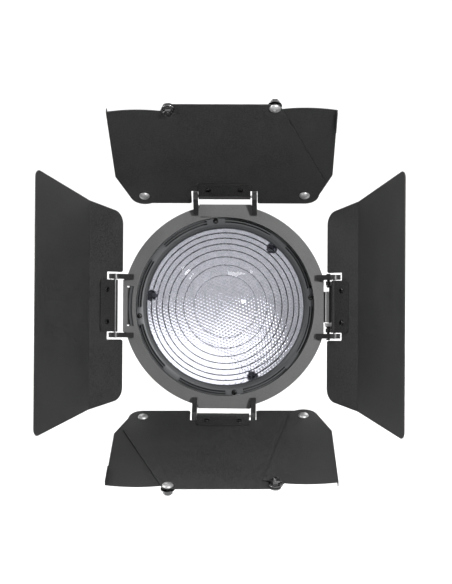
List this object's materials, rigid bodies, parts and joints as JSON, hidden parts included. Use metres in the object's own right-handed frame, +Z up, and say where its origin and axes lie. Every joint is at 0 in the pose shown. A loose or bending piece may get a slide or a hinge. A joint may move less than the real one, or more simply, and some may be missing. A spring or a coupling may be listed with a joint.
{
  "type": "fresnel spotlight",
  "caption": "Fresnel spotlight head: focusing glass fresnel lens in a round barrel with a rotating four-leaf barn door and a rear bayonet.",
  "frame": {"origin": "centre of the rear mounting face, on the lens axis", "axes": "+Z up; the light shines towards -Y; +X is to the right of someone who faces the light; +Y points out of the rear bayonet"},
  "size_m": [0.3634, 0.3501, 0.3905],
  "materials": {
    "housing_paint": "satin black anodised aluminium",
    "trim_paint": "satin dark grey anodised aluminium",
    "ring_paint": "satin mid grey paint",
    "hinge_paint": "semi-matt dark grey paint",
    "leaf_powder_coat": "fine textured black powder coat",
    "grip_rubber": "ribbed black rubber",
    "seal_rubber": "matt black silicone",
    "lens_glass": "clear pressed glass with a dimpled back",
    "bright_steel": "bright nickel-plated steel",
    "black_steel": "black oxide steel",
    "mark_paint": "white paint"
  },
  "bodies": {
    "housing": {"bayonet_plate": "housing_paint", "rear_shell": "housing_paint", "barrel": "housing_paint", "front_rim": "trim_paint", "lens_bezel": "trim_paint", "bezel_screw_1": "black_steel", "bezel_screw_2": "black_steel", "bezel_screw_3": "black_steel", "bezel_screw_4": "black_steel", "glide_ring_front": "trim_paint", "glide_ring_rear": "trim_paint", "index_mark": "mark_paint"},
    "focus": {"focus_ring": "trim_paint", "focus_grip": "grip_rubber"},
    "carriage": {"fresnel_lens": "lens_glass", "lens_carrier": "housing_paint", "lens_gasket": "seal_rubber", "lens_clip_1": "black_steel", "lens_clip_2": "black_steel", "lens_clip_3": "black_steel", "cam_follower_1": "bright_steel", "cam_follower_2": "bright_steel", "cam_follower_3": "bright_steel"},
    "barndoor": {"barndoor_ring": "ring_paint", "hinge_bracket_top": "hinge_paint", "hinge_bracket_left": "hinge_paint", "hinge_bracket_bottom": "hinge_paint", "hinge_ear_right_upper": "hinge_paint", "hinge_ear_right_lower": "hinge_paint", "hinge_pin_top": "bright_steel", "hinge_pin_left": "bright_steel", "hinge_pin_bottom": "bright_steel", "hinge_pin_right": "bright_steel", "latch_pivot_screw_upper": "black_steel", "latch_pivot_screw_lower": "black_steel"},
    "latch": {"latch_lever": "ring_paint", "latch_spring": "bright_steel"},
    "top_leaf": {"leaf_top": "leaf_powder_coat", "hinge_plate_top": "hinge_paint", "flap_pivot_top_left": "bright_steel", "flap_pivot_top_right": "bright_steel", "flap_stop_top_left": "bright_steel", "flap_stop_top_right": "bright_steel"},
    "bottom_leaf": {"leaf_bottom": "leaf_powder_coat", "hinge_plate_bottom": "hinge_paint", "flap_pivot_bottom_left": "bright_steel", "flap_pivot_bottom_right": "bright_steel", "flap_stop_bottom_left": "bright_steel", "flap_stop_bottom_right": "bright_steel"},
    "left_leaf": {"leaf_left": "leaf_powder_coat", "hinge_plate_left": "hinge_paint"},
    "right_leaf": {"leaf_right": "leaf_powder_coat", "hinge_plate_right": "hinge_paint"},
    "top_left_flap": {"flap_top_left": "leaf_powder_coat"},
    "top_right_flap": {"flap_top_right": "leaf_powder_coat"},
    "bottom_left_flap": {"flap_bottom_left": "leaf_powder_coat"},
    "bottom_right_flap": {"flap_bottom_right": "leaf_powder_coat"}
  },
  "joints": [
    {"name": "barndoor_rotation", "type": "hinge", "parent": "housing", "child": "barndoor", "pos_m": [0, -0.1885, 0], "axis": [0, 1, 0], "continuous": true},
    {"name": "top_leaf_fold", "type": "hinge", "parent": "barndoor", "child": "top_leaf", "pos_m": [0, -0.204, 0.1145], "axis": [1, 0, 0], "range_deg": [-52, 112.5]},
    {"name": "bottom_leaf_fold", "type": "hinge", "parent": "barndoor", "child": "bottom_leaf", "pos_m": [0, -0.204, -0.1145], "axis": [-1, 0, 0], "range_deg": [-58.5, 90]},
    {"name": "left_leaf_fold", "type": "hinge", "parent": "barndoor", "child": "left_leaf", "pos_m": [-0.1145, -0.204, 0], "axis": [0, 0, -1], "range_deg": [-101, 43.5]},
    {"name": "right_leaf_fold", "type": "hinge", "parent": "barndoor", "child": "right_leaf", "pos_m": [0.1145, -0.204, 0], "axis": [0, 0, 1], "range_deg": [-87.5, 45]},
    {"name": "top_left_flap_swing", "type": "hinge", "parent": "top_leaf", "child": "top_left_flap", "pos_m": [-0.084, -0.20716, 0.11654], "axis": [0, -0.5432, -0.8396], "range_deg": [-21, 4.5]},
    {"name": "top_right_flap_swing", "type": "hinge", "parent": "top_leaf", "child": "top_right_flap", "pos_m": [0.0828, -0.20716, 0.11654], "axis": [0, 0.5432, 0.8396], "range_deg": [-21, 4.5]},
    {"name": "bottom_left_flap_swing", "type": "hinge", "parent": "bottom_leaf", "child": "bottom_left_flap", "pos_m": [-0.08392, -0.20868, -0.11679], "axis": [0, 0.4399, -0.898], "range_deg": [-21, 4.5]},
    {"name": "bottom_right_flap_swing", "type": "hinge", "parent": "bottom_leaf", "child": "bottom_right_flap", "pos_m": [0.08285, -0.20607, -0.11551], "axis": [0, -0.4399, 0.898], "range_deg": [-21, 4.5]},
    {"name": "focus_turn", "type": "hinge", "parent": "housing", "child": "focus", "pos_m": [0, -0.127, 0], "axis": [0, 1, 0], "range_deg": [0, 100]},
    {"name": "lens_slide", "type": "slide", "parent": "housing", "child": "carriage", "axis": [0, 1, 0], "range_m": [0, 0.06]},
    {"name": "latch_release", "type": "hinge", "parent": "barndoor", "child": "latch", "pos_m": [0.1086, -0.192, 0], "axis": [0, 0, -1], "range_deg": [0, 25], "stiffness_Nm_per_rad": 0.4, "springref_deg": -8.59}
  ],
  "couplings": [
    {"joint": "lens_slide", "follows": "focus_turn", "m_per_rad": 0.034377}
  ]
}
